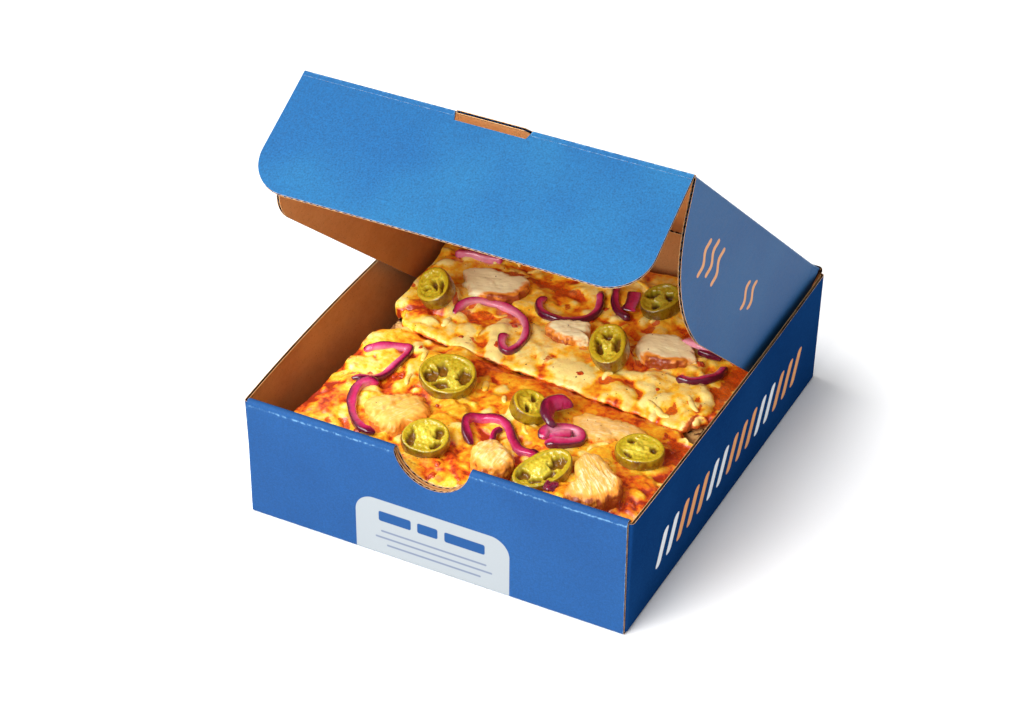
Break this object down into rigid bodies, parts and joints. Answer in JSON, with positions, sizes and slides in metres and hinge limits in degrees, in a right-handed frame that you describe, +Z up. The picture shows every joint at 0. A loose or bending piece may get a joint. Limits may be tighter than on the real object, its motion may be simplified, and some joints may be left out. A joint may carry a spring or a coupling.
{
  "type": "pizza slices in an open folding carton",
  "caption": "Rectangular pizza slices with chicken, red onion and chilli rings in a square folding carton, its hinged lid half open on a tuck flap.",
  "frame": {"origin": "middle of the carton's base, on the surface it stands on", "axes": "+Z up, -Y the front wall with the thumb notch, +Y the back wall with the lid hinge, +X to the right seen from the front"},
  "size_m": [0.2026, 0.23, 0.2161],
  "materials": {
    "printed_board": "satin",
    "kraft_board": "matte",
    "dough": "matte",
    "cheese": "satin",
    "chilli": "gloss",
    "onion": "gloss",
    "chicken": "satin"
  },
  "bodies": {
    "root": {"tray": "printed_board", "divider_card": "kraft_board", "dough_front": "dough", "cheese_front": "cheese", "dough_rear": "dough", "cheese_rear": "cheese", "chilli_ring_1": "chilli", "chilli_ring_2": "chilli", "chilli_ring_3": "chilli", "chilli_ring_4": "chilli", "chilli_ring_5": "chilli", "chilli_ring_6": "chilli", "chilli_ring_7": "chilli", "chilli_ring_8": "chilli", "onion_hook": "onion", "onion_bow": "onion", "onion_sliver": "onion", "onion_fold": "onion", "onion_left_arc": "onion", "onion_wave": "onion", "onion_curl": "onion", "onion_pink_ring": "onion", "onion_right_arc": "onion", "onion_right_strip": "onion", "onion_back_strip": "onion", "chicken_1": "chicken", "chicken_2": "chicken", "chicken_3": "chicken", "chicken_4": "chicken", "chicken_5": "chicken", "chicken_6": "chicken", "chicken_7": "chicken"},
    "lid": {"lid": "printed_board"},
    "front_flap": {"front_flap": "printed_board"}
  },
  "joints": [
    {"name": "lid_hinge", "type": "hinge", "parent": "root", "child": "lid", "pos_m": [0, 0.115, 0.066], "axis": [-1, 0, 0], "range_deg": [-36, 138.8]},
    {"name": "front_flap_fold", "type": "hinge", "parent": "lid", "child": "front_flap", "pos_m": [0, -0.05316, 0.21322], "axis": [-1, 0, 0], "range_deg": [-25.5, 69.7]}
  ]
}
